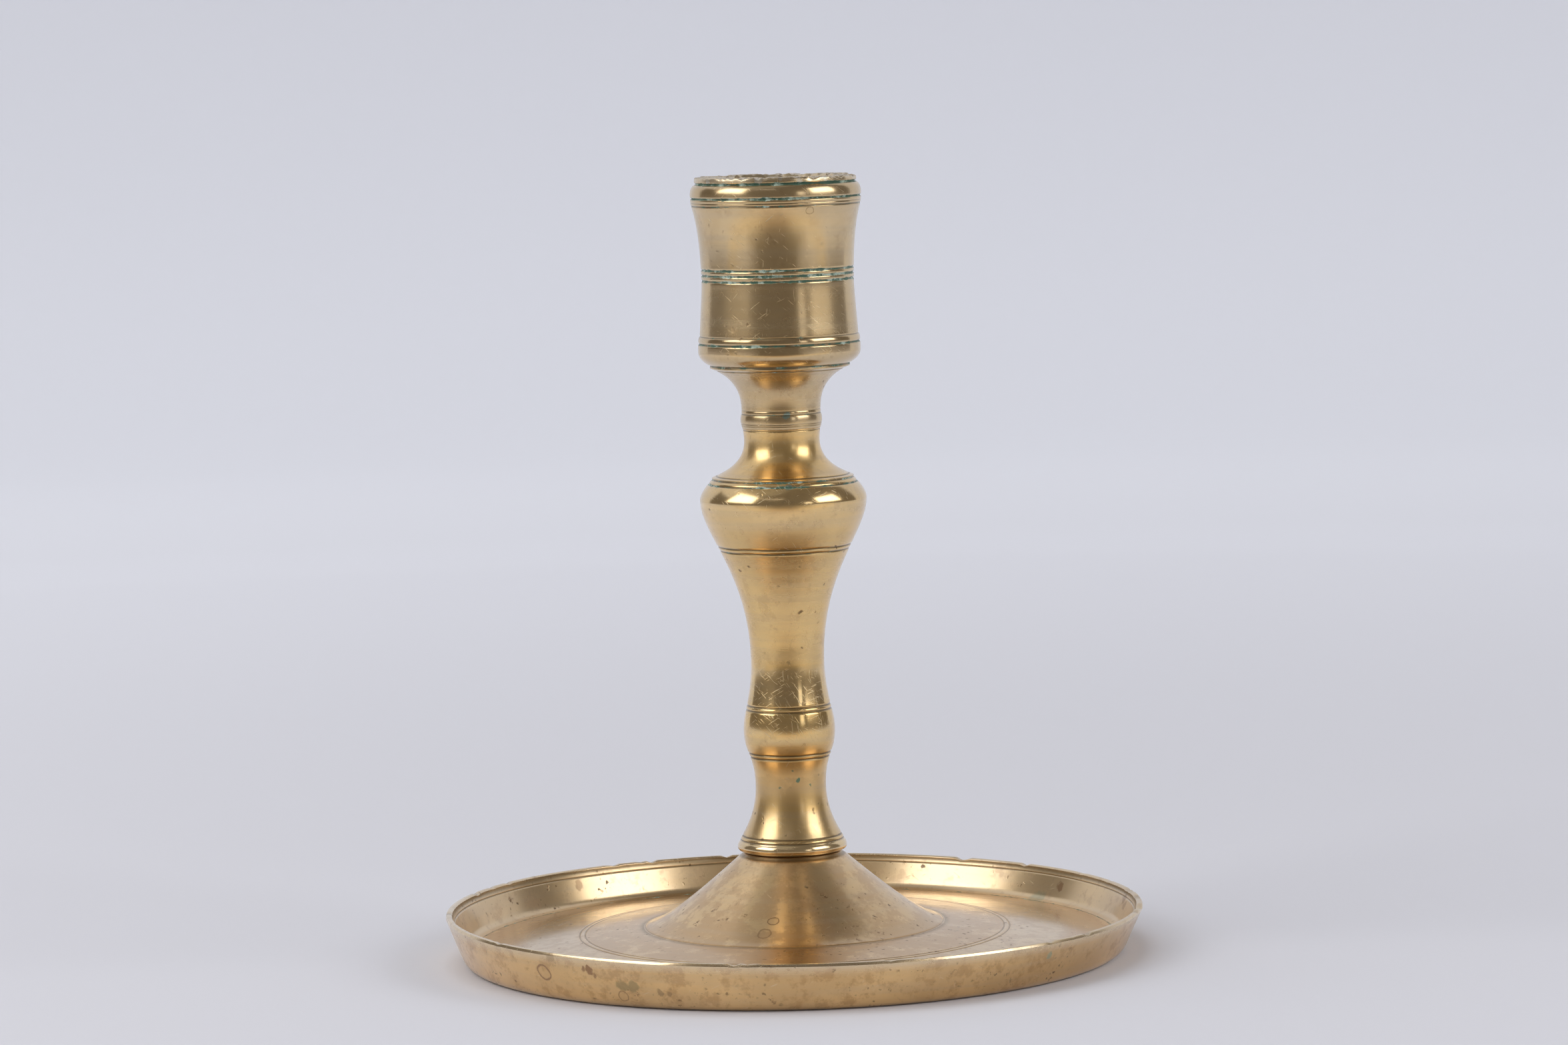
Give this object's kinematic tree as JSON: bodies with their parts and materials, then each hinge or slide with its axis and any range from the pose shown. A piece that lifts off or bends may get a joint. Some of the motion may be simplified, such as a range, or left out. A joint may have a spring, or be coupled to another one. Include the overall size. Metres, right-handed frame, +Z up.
{
  "type": "candlestick",
  "caption": "Turned brass candlestick: wide flared dish tray with a raised cone, baluster stem and waisted candle socket. The stem and the socket unscrew.",
  "frame": {"origin": "on the turning axis, on the plane that the tray rests on", "axes": "+Z up along the turning axis, from the tray to the candle socket"},
  "size_m": [0.1368, 0.1368, 0.1524],
  "materials": {
    "aged_brass": "worn, stained, soft polish",
    "polished_brass": "polished, fine scratches",
    "satin_brass": "satin, pitted, verdigris in grooves",
    "cut_brass": "cut thread"
  },
  "bodies": {
    "tray": {"tray": "aged_brass"},
    "foot_stud": {"foot_stud": "cut_brass"},
    "stem": {"stem": "polished_brass"},
    "neck_stud": {"neck_stud": "cut_brass"},
    "socket": {"socket": "satin_brass"}
  },
  "joints": [
    {"name": "stem_lift", "type": "slide", "parent": "tray", "child": "foot_stud", "axis": [0, 0, 1], "range_m": [0, 0.0088]},
    {"name": "stem_turn", "type": "hinge", "parent": "foot_stud", "child": "stem", "pos_m": [0, 0, 0.0203], "axis": [0, 0, 1], "range_deg": [0, 2520]},
    {"name": "socket_lift", "type": "slide", "parent": "stem", "child": "neck_stud", "axis": [0, 0, 1], "range_m": [0, 0.0088]},
    {"name": "socket_turn", "type": "hinge", "parent": "neck_stud", "child": "socket", "pos_m": [0, 0, 0.1034], "axis": [0, 0, 1], "range_deg": [0, 2520]}
  ],
  "couplings": [
    {"joint": "stem_lift", "follows": "stem_turn", "m_per_rad": 0.00019894},
    {"joint": "socket_lift", "follows": "socket_turn", "m_per_rad": 0.00019894}
  ]
}
